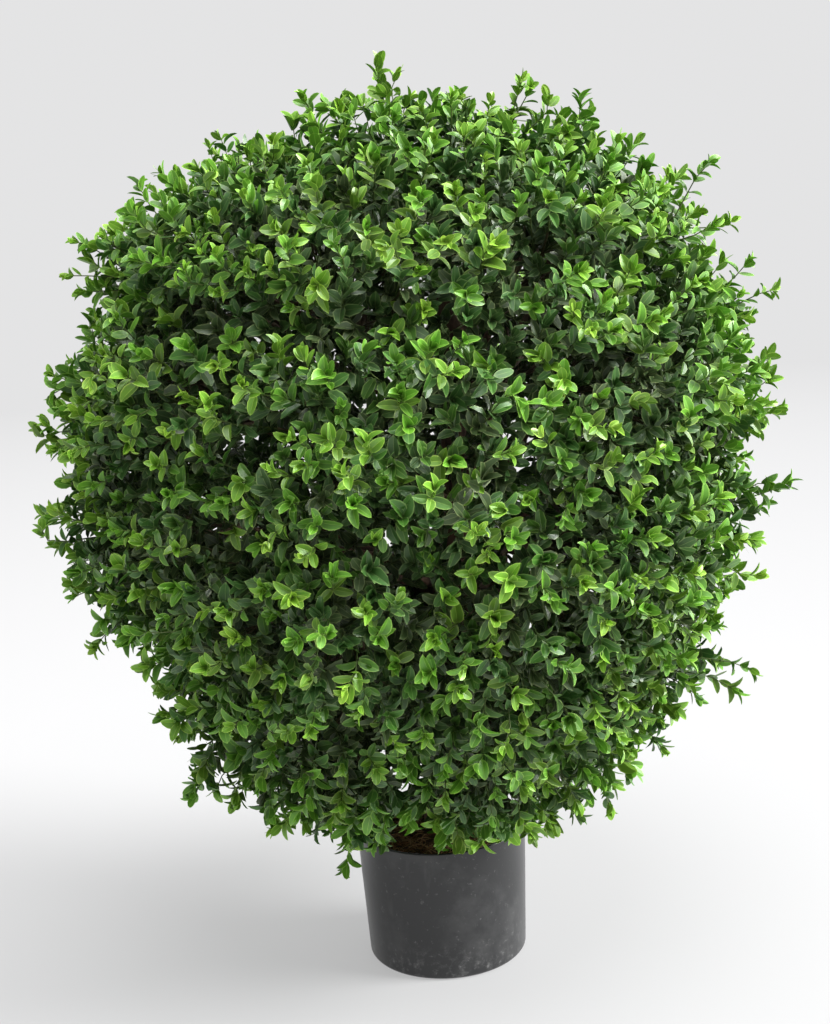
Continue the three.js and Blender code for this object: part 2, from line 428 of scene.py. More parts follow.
# ---------------------------------------------------------------------------------------- trunk
# The stem: a length of natural hardwood with its bark on, about as thick as a broom handle at
# the top. It leans a little to the right, and its foot is held in the filling.
TRUNK_SIDES = 56
TRUNK_RINGS = 150
TRUNK_STATIONS = 14
BARK_RIDGE = 0.0016
BARK_FLAKE = 0.0007


def slices(node, first, last, count):
    """Centres and radii of a limb's CAD solid, cut square to the line from first to last."""
    centres, radii = [], []
    across = (last - first).normalized()
    for step in range(count):
        bm = bmesh.new()
        bm.from_mesh(nodes[node].data)
        bmesh.ops.remove_doubles(bm, verts=bm.verts, dist=1e-6)
        cut = bmesh.ops.bisect_plane(
            bm,
            geom=list(bm.verts) + list(bm.edges) + list(bm.faces),
            plane_co=first.lerp(last, step / (count - 1)),
            plane_no=across,
        )["geom_cut"]
        ring = [item.co.copy() for item in cut if isinstance(item, bmesh.types.BMVert)]
        bm.free()
        if ring:
            centre = sum(ring, Vector()) / len(ring)
            centres.append(centre)
            radii.append(sum((point - centre).length for point in ring) / len(ring))
    return centres, radii


def along_line(centres, radii, share):
    """The centre, radius and direction of a limb at a share of its stations."""
    place = share * (len(centres) - 1)
    index = min(int(place), len(centres) - 2)
    before, after = max(index - 1, 0), min(index + 2, len(centres) - 1)
    t = place - index
    p0, p1, p2, p3 = centres[before], centres[index], centres[index + 1], centres[after]
    centre = (
        2 * p1
        + (p2 - p0) * t
        + (2 * p0 - 5 * p1 + 4 * p2 - p3) * t * t
        + (3 * p1 - p0 - 3 * p2 + p3) * t * t * t
    ) / 2
    radius = radii[index] * (1 - t) + radii[index + 1] * t
    return centre, radius, (p2 - p1).normalized()


def bark_relief(round_limb, length, seed, ridge, flake):
    """How far the bark stands out: long plaited ridges and small flakes."""
    spin = Vector((math.cos(round_limb), math.sin(round_limb), 0))
    ridges = noise.noise(Vector((spin.x * 3.4, spin.y * 3.4, length * 16 + seed)))
    ridges = 1 - 2 * abs(ridges)
    fine = noise.noise(Vector((spin.x * 9, spin.y * 9, length * 60 + seed)))
    flakes = noise.noise(Vector((spin.x * 22, spin.y * 22, length * 190 - seed)))
    return ridge * (ridges - 0.5 + 0.5 * fine) + flake * flakes


def barked_limb(bm, centres, radii, sides, rings, seed, ridge, flake, end_round=0.6):
    """Adds a limb to a bmesh: a ring of bark drawn out along the limb's stations."""
    _, first_radius, heading = along_line(centres, radii, 0)
    ring = bmesh.ops.create_circle(bm, cap_ends=True, radius=first_radius, segments=sides)["verts"]
    side = heading.orthogonal().normalized()
    angles = [math.tau * number / sides for number in range(sides)]
    length = sum((b - a).length for a, b in zip(centres, centres[1:]))
    for step in range(rings + 1):
        share = step / rings
        centre, radius, heading = along_line(centres, radii, share)
        side = (side - heading * side.dot(heading)).normalized()
        other = heading.cross(side)
        if step == rings:
            radius *= end_round
        for vert, angle in zip(ring, angles):
            out = side * math.cos(angle) + other * math.sin(angle)
            lift = bark_relief(angle, share * length, seed, ridge, flake)
            vert.co = centre + out * (radius + lift)
        if step < rings:
            edges = [bm.edges.get((a, b)) for a, b in zip(ring, ring[1:] + ring[:1])]
            drawn = bmesh.ops.extrude_edge_only(bm, edges=edges)["geom"]
            fresh = [item for item in drawn if isinstance(item, bmesh.types.BMVert)]
            linked = {}
            for vert in fresh:
                for edge in vert.link_edges:
                    other_end = edge.other_vert(vert)
                    if other_end in ring:
                        linked[other_end] = vert
            ring = [linked[vert] for vert in ring]
    bm.faces.new(ring)


trunk_low, trunk_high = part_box("trunk")
foot_ring = [v.co for v in nodes["trunk"].data.vertices if v.co.z < trunk_low.z + 0.001]
tip_ring = [v.co for v in nodes["trunk"].data.vertices if v.co.z > trunk_high.z - 0.012]
trunk_foot = sum(foot_ring, Vector()) / len(foot_ring)
trunk_tip = sum(tip_ring, Vector()) / len(tip_ring)
trunk_foot.z += 0.0005
trunk_tip.z = trunk_high.z - 0.008
trunk_line, trunk_radii = slices("trunk", trunk_foot, trunk_tip, TRUNK_STATIONS)
trunk = bmesh.new()
barked_limb(
    trunk, trunk_line, trunk_radii, TRUNK_SIDES, TRUNK_RINGS, 3.7, BARK_RIDGE, BARK_FLAKE
)
bmesh.ops.recalc_face_normals(trunk, faces=trunk.faces)

bark_pattern, given, shown = pattern(
    "bark_pattern", {"Place": "Vector", "Scale": "Float"}, {"Colour": "Color", "Relief": "Float"}
)
scaled = {0: given["Place"], "Scale": given["Scale"]}
bark_at = add(bark_pattern, "VectorMath", scaled, operation="SCALE").outputs[0]
streaks = mottle(bark_pattern, bark_at, 1, 7, 0.65, (95, 95, 18))
patches = mottle(bark_pattern, bark_at, 26, 4)
flakes = mottle(bark_pattern, bark_at, 1, 5, 0.7, (260, 260, 90))
bark_colour = blended(
    bark_pattern,
    graded(bark_pattern, streaks, 0.36, 0.62),
    (0.030, 0.018, 0.011, 1),
    (0.150, 0.086, 0.050, 1),
)
bark_colour = blended(
    bark_pattern,
    graded(bark_pattern, patches, 0.55, 0.72, 0, 0.55),
    bark_colour,
    (0.175, 0.135, 0.095, 1),
)
bark_pattern.links.new(bark_colour, shown["Colour"])
bark_relief_height = times(bark_pattern, times(bark_pattern, flakes, 0.5), streaks, "ADD")
bark_pattern.links.new(bark_relief_height, shown["Relief"])


def bark_finish(name, scale):
    """Brown bark. A larger scale draws its streaks and flakes finer."""
    material = finish(name, roughness=0.82)
    tree = material.node_tree
    values = {"Place": add(tree, "TexCoord").outputs["Object"], "Scale": scale}
    bark = add(tree, "Group", values, node_tree=bark_pattern).outputs
    wear(material, (0.085, 0.050, 0.030, 1), bark["Colour"], None, bark["Relief"], 0.6)
    return material


stem_bark = piece("stem_bark", trunk, bark_finish("stem_bark", 1))
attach(stem_bark, "root")
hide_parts("trunk")

# --------------------------------------------------------------------------------------- boughs
# The main limbs: wired plastic rods with a moulded bark, pushed into holes drilled in the stem.
# They rise outwards in four tiers, and each one carries a mass of foliage.
BOUGH_ROOT = 0.010  # how deep a bough is pushed into the stem
BOUGH_SIDES = 12
BOUGH_RINGS = 26
BOUGH_STATIONS = 9
BOUGH_RIDGE = 0.0007
BOUGH_FLAKE = 0.0003

bough_ends = {}
boughs = bmesh.new()
bough_nodes = sorted(name for name in nodes if name.startswith("bough_"))


def trunk_axis_near(point):
    """The point on the stem's centre line at another point's height."""
    for low, high in zip(trunk_line, trunk_line[1:]):
        if low.z <= point.z <= high.z:
            return low.lerp(high, (point.z - low.z) / (high.z - low.z))
    return trunk_line[-1] if point.z > trunk_line[-1].z else trunk_line[0]


for number, name in enumerate(bough_nodes):
    corners = [vert.co.copy() for vert in nodes[name].data.vertices]
    corners.sort(key=lambda point: (point - trunk_axis_near(point)).length)
    near, far = corners[:6], corners[-6:]
    inner = sum(near, Vector()) / len(near)
    outer = sum(far, Vector()) / len(far)
    reach = (outer - inner).length
    stem_side = inner.lerp(outer, 0.02)
    leaf_side = inner.lerp(outer, 1 - 0.004 / reach)
    line, radii = slices(name, stem_side, leaf_side, BOUGH_STATIONS)
    first = line[0] + (line[0] - line[1]).normalized() * BOUGH_ROOT
    line.insert(0, first)
    radii.insert(0, radii[0])
    barked_limb(
        boughs, line, radii, BOUGH_SIDES, BOUGH_RINGS, number * 1.9, BOUGH_RIDGE, BOUGH_FLAKE, 0.9
    )
    bough_ends[name] = (line[-1], (line[-1] - line[-2]).normalized())
bmesh.ops.recalc_face_normals(boughs, faces=boughs.faces)
bough_bark = piece("bough_bark", boughs, bark_finish("bough_bark", 1.8))
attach(bough_bark, "root")
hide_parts(*bough_nodes)

# ---------------------------------------------------------------------------------------- twigs
# Branchlets, twigs and shoots of green plastic over wire, twisted on to the end of each bough.
# They fork by one rule: a limb heads for the middle of the tips that it feeds, and divides until
# each shoot feeds one tip. The tips are clipped to the outline of the ball.
TIERS = (  # spacing of the tips, and their least and greatest depth under the outline
    (0.0275, 0.006, 0.032),
    (0.0245, 0.032, 0.062),
    (0.0280, 0.062, 0.106),
)
FRINGE = (0.0225, 0.013, 0.036)  # the same, for the leaves that hang round the pot's rim
FRINGE_BELOW = -0.90
PARTING = ((-0.028, -0.030, 0.135), (-0.026, -0.150, 0.187))  # where the coir shows, and its size
PARTING_RADIUS = 0.024
RIM_CLEARANCE = 0.012  # the least height of the tips above the lip
RIM_SLOPE = 0.35  # and how much higher they are farther out
STRAYS = (  # shoots that stand clear of the outline, and one that hangs beside the pot
    (-0.015, -0.014, 0.902),
    (0.118, -0.019, 0.884),
    (0.126, -0.022, 0.876),
    (0.143, -0.018, 0.866),
    (0.173, -0.023, 0.860),
    (0.181, -0.024, 0.850),
    (-0.086, -0.013, 0.878),
    (-0.308, -0.045, 0.761),
    (-0.320, -0.047, 0.730),
    (-0.296, -0.038, 0.741),
    (-0.306, -0.040, 0.713),
    (-0.357, -0.067, 0.586),
    (0.288, -0.047, 0.796),
    (0.308, -0.047, 0.741),
    (0.322, -0.051, 0.703),
    (0.344, -0.060, 0.676),
    (0.349, -0.086, 0.496),
    (0.303, -0.131, 0.326),
    (0.285, -0.131, 0.308),
    (0.160, -0.153, 0.208),
    (-0.361, -0.087, 0.496),
    (-0.232, -0.147, 0.243),
    (-0.227, -0.132, 0.262),
    (-0.192, -0.140, 0.232),
    (-0.158, -0.152, 0.205),
    (-0.099, -0.060, 0.124),
)
HOLLOWS = (  # directions from the crown's centre, and how far it sinks (or, below 0, swells)
    (0.961, -0.175, 0.213, 0.007),
    (0.653, -0.053, 0.755, 0.008),
    (-0.170, -0.001, 0.986, 0.013),
    (-0.961, -0.175, 0.213, 0.008),
    (-0.961, -0.250, -0.117, -0.012),
    (-0.819, -0.330, -0.470, 0.024),
    (0.800, -0.336, -0.498, 0.026),
    (-0.574, -0.386, -0.722, -0.009),
    (0.170, -0.440, -0.882, -0.012),
)
HOLLOW_WIDTH = 0.17
OUTLINE_SMOOTHING = 0.036
FURROWS_FILLED = 0.32  # the share of the masses' furrows that the leaves fill up
OUTLINE_TRIES = 90000
CLUMP_HEIGHT = 0.023
CLUMP_SIZE = 0.066
THINNED = (0.72, 0.56, 0.12)  # share of each tier that is missing where it lies lowest
PROUD_SHARE = 0.10
PROUD_BY = 0.013
TOP_TRIM = 0.006
SHOOT_ROOM = 0.052
ROOM_POWER = 0.27
SHOOT_RADIUS = 0.00080
RADIUS_POWER = 0.31
SHOOT_LIFT = 0.42
SHOOT_WANDER = 0.44
LIMB_WANDER = (0.07, 0.10)  # in its direction as a whole, and in how it arrives
THIRD_FORK = 0.45  # how often a limb that feeds more than five tips forks in three
LIMB_POINTS = 5
SHOOT_POINTS = 5
SEED = 20

grower = random.Random(SEED)
dice = np.random.default_rng(SEED)
foliage_nodes = sorted(name for name in nodes if name.startswith("foliage_"))
foliage_low = np.min([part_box(name)[0] for name in foliage_nodes], axis=0)
foliage_high = np.max([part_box(name)[1] for name in foliage_nodes], axis=0)


def triangles_of(name):
    """The corners of a node's triangles."""
    mesh = nodes[name].data
    mesh.calc_loop_triangles()
    where = np.empty(len(mesh.vertices) * 3)
    mesh.vertices.foreach_get("co", where)
    corners = np.empty(len(mesh.loop_triangles) * 3, int)
    mesh.loop_triangles.foreach_get("vertices", corners)
    return where.reshape(-1, 3)[corners.reshape(-1, 3)]


def unit(vectors):
    return vectors / np.maximum(np.linalg.norm(vectors, axis=-1, keepdims=True), 1e-12)


# Every mass lies round the hollow, so the middle of the inner faces is the crown's centre.
mass_triangles = {name: triangles_of(name) for name in foliage_nodes}
all_corners = np.concatenate([found.reshape(-1, 3) for found in mass_triangles.values()])
crown_centre = (foliage_low + foliage_high) / 2
for _ in range(20):
    spans = np.linalg.norm(all_corners - crown_centre, axis=1)
    inner_corners = all_corners[spans < spans.min() * 1.12]
    system = np.c_[2 * inner_corners, np.ones(len(inner_corners))]
    solved = np.linalg.lstsq(system, (inner_corners**2).sum(1), rcond=None)[0]
    crown_centre = solved[:3]
hollow_radius = np.linalg.norm(inner_corners - crown_centre, axis=1).mean()


def scattered(corners, spacing, tries):
    """Random points on triangles, no two closer than a spacing, and the triangle of each."""
    crosses = np.cross(corners[:, 1] - corners[:, 0], corners[:, 2] - corners[:, 0])
    area = np.linalg.norm(crosses, axis=1)
    picked = dice.choice(len(corners), tries, p=area / area.sum())
    u, v = dice.random(tries), dice.random(tries)
    over = u + v > 1
    u[over], v[over] = 1 - u[over], 1 - v[over]
    chosen = corners[picked]
    points = chosen[:, 0] + u[:, None] * (chosen[:, 1] - chosen[:, 0])
    points += v[:, None] * (chosen[:, 2] - chosen[:, 0])
    kept, cells = [], {}
    for number, point in enumerate(points):
        cell = tuple((point // spacing).astype(int))
        crowded = any(
            ((points[other] - point) ** 2).sum() < spacing**2
            for x in (-1, 0, 1)
            for y in (-1, 0, 1)
            for z in (-1, 0, 1)
            for other in cells.get((cell[0] + x, cell[1] + y, cell[2] + z), ())
        )
        if not crowded:
            cells.setdefault(cell, []).append(number)
            kept.append(number)
    return points[kept], picked[kept]


# The outline: the outward faces of every mass, and the open underside of the skirt.
outline, owners, open_below = [], [], []
for name, corners in mass_triangles.items():
    middle = corners.mean(1)
    facing = unit(np.cross(corners[:, 1] - corners[:, 0], corners[:, 2] - corners[:, 0]))
    out = unit(middle - crown_centre)
    span = np.linalg.norm(middle - crown_centre, axis=1)
    outward = (np.abs((facing * out).sum(1)) > 0.35) & (span > hollow_radius * 1.5)
    under = (out[:, 2] < -0.93) & (facing[:, 2] < -0.15) & (span > hollow_radius * 1.15)
    shown_faces = outward | under
    outline.append(corners[shown_faces])
    open_below.append(~outward[shown_faces])
    owners += [name] * int(shown_faces.sum())
outline = np.concatenate(outline)
open_below = np.concatenate(open_below)
owners = np.array(owners)


def smoothed_span(points):
    """How far the outline lies from the crown's centre near each point, without its furrows."""
    faces = outline[~open_below]
    samples = faces.mean(1)
    weight_of = np.linalg.norm(
        np.cross(faces[:, 1] - faces[:, 0], faces[:, 2] - faces[:, 0]), axis=1
    )
    spans = np.linalg.norm(samples - crown_centre, axis=1)
    directions = unit(samples - crown_centre)
    wanted = unit(points - crown_centre)
    width = OUTLINE_SMOOTHING / spans.mean()
    apart = 2 - 2 * wanted @ directions.T
    weights = np.exp(-apart / (2 * width**2)) * weight_of
    return (weights @ spans) / weights.sum(1)


def clumps(points):
    """How far the leaves stand out in clumps near each point, from about -1 to 1."""
    return np.array(
        [
            noise.noise(Vector(point) / CLUMP_SIZE) * 1.3
            + noise.noise(Vector(point) / CLUMP_SIZE * 2.1 + Vector((5, 1, 7))) * 0.6
            for point in points
        ]
    )


def tips_on_outline(spacing, least, most, thinned):
    """Where a tier of shoots ends: the places, the masses they belong to and their clumping."""
    points, faces = scattered(outline, spacing, OUTLINE_TRIES)
    out = unit(points - crown_centre)
    span = np.linalg.norm(points - crown_centre, axis=1)
    even = smoothed_span(points)
    clumping = clumps(points)
    filled = (1 - FURROWS_FILLED) * span + FURROWS_FILLED * even
    lifted = np.where(open_below[faces], span, filled)
    down = least + (most - least) * dice.random(len(points)) ** 1.5
    down = down - CLUMP_HEIGHT * clumping + TOP_TRIM * np.clip(out[:, 2], 0, 1) ** 2
    down = down - PROUD_BY * (dice.random(len(points)) < PROUD_SHARE)
    for *towards, depth in HOLLOWS:
        off = 2 - 2 * out @ np.array(towards)
        down = down + depth * np.exp(-off / (2 * HOLLOW_WIDTH**2))
    kept = dice.random(len(points)) > thinned * np.clip(0.1 - clumping, 0, 1)
    places = crown_centre + out * (lifted - down)[:, None]
    return places[kept], owners[faces][kept], clumping[kept]


tiers = [tips_on_outline(*tier, thinned) for tier, thinned in zip(TIERS, THINNED)]
tip_tier = [np.full(len(tier[0]), number) for number, tier in enumerate(tiers)]
fringe = tips_on_outline(*FRINGE, THINNED[0])
hanging = unit(fringe[0] - crown_centre)[:, 2] < FRINGE_BELOW
tiers.append(tuple(column[hanging] for column in fringe))
tip_tier.append(np.zeros(hanging.sum(), int))
parting = np.array(PARTING)
opening = parting[1] - parting[0]


def trimmed(places):
    """Which tips are left where the lowest are cut away over the pot's lip and at the parting."""
    spread = np.maximum(np.hypot(places[:, 0], places[:, 1]) - rim_radius, 0)
    high = places[:, 2] > pot_height + RIM_CLEARANCE + RIM_SLOPE * spread
    into = np.clip((places - parting[0]) @ opening / (opening @ opening), 0, 1)
    away = np.linalg.norm(places - parting[0] - into[:, None] * opening, axis=1)
    return high & (away > PARTING_RADIUS)


tip_tier = [numbers[trimmed(tier[0])] for numbers, tier in zip(tip_tier, tiers)]
tiers = [tuple(column[trimmed(tier[0])] for column in tier) for tier in tiers]
strays = np.array(STRAYS)
beside = np.linalg.norm(tiers[0][0][None] - strays[:, None], axis=2).argmin(1)
tiers.append((strays, tiers[0][1][beside], np.full(len(strays), 0.3)))
tip_tier.append(np.zeros(len(strays), int))
tips, tip_owners, tip_clumping = (np.concatenate(column) for column in zip(*tiers))
tip_tier = np.concatenate(tip_tier)

limbs = []  # (control points, thickness at each end, tips fed)
shoots = []  # (control points, tip number)


def jittered(direction, amount):
    turn = np.array([grower.gauss(0, 1) for _ in range(3)])
    return unit(direction + amount * turn)


def split(numbers):
    """Parts a group of tips in two, across its longest direction."""
    places = tips[numbers] - tips[numbers].mean(0)
    longest = np.linalg.svd(places, full_matrices=False)[2][0]
    order = numbers[np.argsort(places @ longest)]
    cut = max(1, min(len(order) - 1, round(len(order) * grower.uniform(0.36, 0.64))))
    return [order[:cut], order[cut:]]


def curved(start, heading, end, arrival):
    """The control points of a limb that leaves and arrives in given directions."""
    third = np.linalg.norm(end - start) / 3
    return np.array([start, start + heading * third, end - arrival * third, end])


def fork(start, heading, numbers):
    """Grows the limb that feeds these tips, then the limbs that fork from its end."""
    if len(numbers) == 1:
        tip = tips[numbers[0]]
        out = unit(tip - crown_centre)
        lift = np.array([0, 0, SHOOT_LIFT * (1 - abs(out[2]))])
        arrival = jittered(unit(out + lift + 0.35 * unit(tip - start)), SHOOT_WANDER)
        shoots.append((curved(start, heading, tip, arrival), numbers[0]))
        return
    middle = tips[numbers].mean(0)
    distance = np.linalg.norm(middle - start)
    room = SHOOT_ROOM * len(numbers) ** ROOM_POWER
    length = max(distance - room, 0.22 * distance)
    towards = unit(unit(middle - start) + 0.25 * heading)
    end = start + length * jittered(towards, LIMB_WANDER[0])
    arrival = jittered(unit(middle - end), LIMB_WANDER[1])
    end_thickness = SHOOT_RADIUS * len(numbers) ** RADIUS_POWER
    limbs.append((curved(start, heading, end, arrival), end_thickness, len(numbers)))
    groups = split(numbers)
    if len(numbers) > 5 and grower.random() < THIRD_FORK:
        largest = max(groups, key=len)
        groups = [group for group in groups if group is not largest] + split(largest)
    for group in groups:
        leaving = unit(tips[group].mean(0) - end)
        fork(end, unit(arrival + 0.9 * leaving), group)


for name in foliage_nodes:
    numbers = np.flatnonzero(tip_owners == name)
    bough = name.replace("foliage_", "bough_")
    if bough in bough_ends:
        start, heading = bough_ends[bough]
    else:
        start, heading = trunk_line[-1], (trunk_line[-1] - trunk_line[-2]).normalized()
    for group in split(numbers):
        for smaller in split(group):
            fork(np.array(start), unit(np.array(heading)), smaller)


def drawn_out(controls, count):
    """Points along many limbs at once, from their control points."""
    share = np.linspace(0, 1, count)[None, :, None]
    p0, p1, p2, p3 = (controls[:, None, number] for number in range(4))
    rest = 1 - share
    return rest**3 * p0 + 3 * rest**2 * share * p1 + 3 * rest * share**2 * p2 + share**3 * p3


limb_controls = np.array([limb[0] for limb in limbs])
limb_ends = np.array([limb[1] for limb in limbs])
limb_feeds = np.array([limb[2] for limb in limbs])
limb_paths = drawn_out(limb_controls, LIMB_POINTS)
limb_tapers = limb_ends[:, None] * np.linspace(1.22, 1, LIMB_POINTS)[None]
shoot_controls = np.array([shoot[0] for shoot in shoots])
shoot_tips = np.array([shoot[1] for shoot in shoots])
shoot_paths = drawn_out(shoot_controls, SHOOT_POINTS)
shoot_tapers = SHOOT_RADIUS * np.linspace(1.0, 0.55, SHOOT_POINTS)[None].repeat(len(shoots), 0)
stout = limb_feeds > 6
brown_plastic = ("branchlet_plastic", (0.060, 0.042, 0.024, 1), (0.140, 0.100, 0.056, 1))
olive_plastic = ("twig_plastic", (0.070, 0.064, 0.026, 1), (0.135, 0.105, 0.050, 1))
green_plastic = ("shoot_plastic", (0.050, 0.085, 0.018, 1), (0.090, 0.130, 0.030, 1))
for name, paths, tapers, plastic, roughness in (
    ("branchlets", limb_paths[stout], limb_tapers[stout], brown_plastic, 0.65),
    ("twigs", limb_paths[~stout], limb_tapers[~stout], olive_plastic, 0.6),
    ("shoots", shoot_paths, shoot_tapers, green_plastic, 0.5),
):
    stems = tubes(name, paths, tapers, two_tone_finish(*plastic, 70, roughness))
    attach(stems, "root")

# --------------------------------------------------------------------------------------- leaves
# Box leaves moulded in soft plastic, in opposite pairs up every shoot, each pair square to the
# last, with a rosette at the tip. New leaves are small and lime, older ones long and dark. They
# have a pale rib and stalk, a pale rim that is partly their own margin and partly a painted
# highlight where the edge catches the light, painted shade towards each blade's base, and a waxy
# shine.
PAIR_STEPS = (0.0010, 0.0026, 0.0046, 0.0066, 0.0080, 0.0092, 0.0105, 0.0115)  # back from the tip
PAIR_ANGLES = (16, 28, 39, 47, 53, 58, 62, 65)
PAIRS = (8, 7, 6)  # pairs of leaves on a shoot of each tier
PAIR_LOSS = (0.02, 0.03)  # the share of leaves missing at the tip, and what each pair adds
LEAF_WIDTH = 0.525
LEAF_FOLD = 0.110  # how far the rim lies above the rib
LEAF_DROOP = 0.30
LEAF_SPRING = 0.10
LEAF_SLIMNESS = (0.82, 1.16)
LEAF_TURN, LEAF_LEAN, LEAF_ROLL = 0.30, 15, 0.40  # how much the leaves vary, the lean in degrees
# The rim is partly the leaf's own paler margin and partly a painted highlight where the curled
# edge catches the light.
RIM_GAIN = (2.2, 1.7, 2.2)  # how the rim's colour follows from the blade's
RIM_LIFT = (0.117, 0.13, 0.0546)
MAP_CELL = (1 / 16, 1 / 8)
SPRAY_CHANCE = 0.44  # the share of a spray's vigour that is chance, not its place
TIER_VIGOUR = ((0.12, 0.88), (0, 0.16), (0, 0.06))  # the least of each tier, and what vigour adds
VIGOUR_STEPS = (0.07, 0.17, 0.38, 0.56, 0.72)
AGES = np.array(  # the age of each pair of leaves back from the tip, a row for each step of vigour
    [
        [4, 4, 4, 4, 4, 4, 4, 4],
        [3, 3, 3, 4, 4, 4, 4, 4],
        [2, 2, 2, 3, 3, 3, 4, 4],
        [1, 1, 2, 2, 2, 3, 3, 4],
        [1, 1, 1, 1, 2, 2, 3, 3],
        [0, 0, 1, 1, 1, 2, 2, 3],
    ]
)
LEAF_SIZES = {
    "tip": (0.0100, 0.0140),
    "young": (0.0125, 0.0175),
    "mature": (0.0140, 0.0190),
    "old": (0.0145, 0.0195),
    "deep": (0.0145, 0.0195),
}
LEAF_TINTS = {
    "tip": {
        "lime": (0.162, 0.362, 0.024, 1),
        "yellow": (0.194, 0.380, 0.028, 1),
    },
    "young": {
        "bright": (0.108, 0.290, 0.020, 1),
        "fresh": (0.145, 0.325, 0.024, 1),
    },
    "mature": {
        "mid": (0.070, 0.196, 0.015, 1),
        "cool": (0.053, 0.162, 0.019, 1),
        "warm": (0.100, 0.214, 0.015, 1),
    },
    "old": {
        "dark": (0.052, 0.138, 0.016, 1),
        "bluish": (0.044, 0.124, 0.024, 1),
    },
    "deep": {
        "green": (0.044, 0.102, 0.024, 1),
        "brown": (0.050, 0.088, 0.026, 1),
    },
}


def leaf_blank(stations):
    """One leaf of length 1 along +Y, folded at its rib with the rim raised above it,
    and with its tip curled down.
    """
    bm = bmesh.new()
    bmesh.ops.create_grid(bm, x_segments=2, y_segments=len(stations) + 1, size=0.5)
    rows = sorted({round(vert.co.y, 4) for vert in bm.verts})
    marks = [(0.0, 0.0)] + stations + [(1.0, 0.0)]
    for vert in bm.verts:
        along, half = marks[rows.index(round(vert.co.y, 4))]
        side = round(vert.co.x * 2)
        lift = LEAF_FOLD * abs(side) * half + LEAF_SPRING * along - LEAF_DROOP * along**2
        vert.co = (side * half * LEAF_WIDTH / 2, along, lift)
    bmesh.ops.remove_doubles(bm, verts=bm.verts, dist=1e-5)
    bmesh.ops.recalc_face_normals(bm, faces=bm.faces)
    bm.faces.ensure_lookup_table()
    if sum(face.normal.z for face in bm.faces) < 0:
        bmesh.ops.reverse_faces(bm, faces=bm.faces)
    bm.verts.index_update()
    where = np.array([vert.co[:] for vert in bm.verts])
    faces = [[vert.index for vert in face.verts] for face in bm.faces]
    bm.free()
    return where, faces


LEAF_BLANK = leaf_blank([(0.08, 0.42), (0.26, 0.86), (0.50, 1.0), (0.74, 0.87), (0.92, 0.50)])
OLD_LEAF_BLANK = leaf_blank([(0.18, 0.66), (0.52, 1.0), (0.86, 0.68)])


def joined_leaves(name, blank, places, sides, axes, lengths, widths, curls):
    """One mesh of many leaves, all laid over the same small part of its map."""
    where, faces = blank
    count, corners = len(places), len(where)
    ups = np.cross(sides, axes)
    shaped = (
        places[:, None]
        + (where[None, :, 0, None] * widths[:, None, None]) * sides[:, None]
        + (where[None, :, 1, None] * lengths[:, None, None]) * axes[:, None]
        + (where[None, :, 2, None] * (lengths * curls)[:, None, None]) * ups[:, None]
    )
    loops = np.concatenate(faces)
    sizes = np.array([len(face) for face in faces])
    all_loops = (loops[None] + corners * np.arange(count)[:, None]).ravel()
    all_sizes = np.tile(sizes, count)
    mesh = bpy.data.meshes.new(name)
    mesh.vertices.add(count * corners)
    mesh.vertices.foreach_set("co", shaped.astype(np.float32).ravel())
    mesh.loops.add(len(all_loops))
    mesh.loops.foreach_set("vertex_index", all_loops.astype(np.int32))
    mesh.polygons.add(len(all_sizes))
    starts = np.concatenate([[0], np.cumsum(all_sizes)[:-1]])
    mesh.polygons.foreach_set("loop_start", starts.astype(np.int32))
    mesh.update(calc_edges=True)
    across = 0.5 + 0.5 * np.sign(np.round(where[:, 0], 4))
    flat = np.c_[across * MAP_CELL[0], where[:, 1] * MAP_CELL[1]] + (0.25, 0.25)
    layer = mesh.uv_layers.new(name="OFBake")
    layer.uv.foreach_set("vector", np.tile(flat[loops], (count, 1)).astype(np.float32).ravel())
    on_rib = np.abs(where[:, 0]) < 1e-6
    ends = np.empty(len(mesh.edges) * 2, np.int32)
    mesh.edges.foreach_get("vertices", ends)
    creased = on_rib[ends.reshape(-1, 2) % corners].all(1)
    mesh.attributes.new("sharp_edge", "BOOLEAN", "EDGE").data.foreach_set("value", creased)
    return mesh


leaf_marks_and_painted_light, given, shown = pattern(
    "leaf_marks_and_painted_light",
    {"Place": "Vector", "Blade": "Color", "Rim": "Color"},
    {"Colour": "Color"},
)
on_leaf = add(
    leaf_marks_and_painted_light,
    "Mapping",
    {
        "Vector": given["Place"],
        "Location": (-0.25 / MAP_CELL[0], -0.25 / MAP_CELL[1], 0),
        "Scale": (1 / MAP_CELL[0], 1 / MAP_CELL[1], 1),
    },
)
parts = add(leaf_marks_and_painted_light, "SeparateXYZ", {0: on_leaf.outputs[0]})
off_rib = times(leaf_marks_and_painted_light, parts.outputs[0], 0.5, "SUBTRACT")
off_rib = add(leaf_marks_and_painted_light, "Math", {0: off_rib}, operation="ABSOLUTE").outputs[0]
rib = graded(leaf_marks_and_painted_light, off_rib, 0.045, 0.015, 0, 0.45)
# The rim and tip margin are paled partly as the leaf's own paler margin and partly as a painted
# highlight where the curled edge catches the light.
rim = graded(leaf_marks_and_painted_light, off_rib, 0.395, 0.470, 0, 0.85)
end = graded(leaf_marks_and_painted_light, parts.outputs[1], 0.90, 0.99, 0, 0.85)
stalk = graded(leaf_marks_and_painted_light, parts.outputs[1], 0.20, 0.02, 0, 0.5)
pale_marks_and_highlight = times(leaf_marks_and_painted_light, rib, rim, "MAXIMUM")
pale_marks_and_highlight = times(leaf_marks_and_painted_light, pale_marks_and_highlight, end, "MAXIMUM")
pale_marks_and_highlight = times(leaf_marks_and_painted_light, pale_marks_and_highlight, stalk, "MAXIMUM")
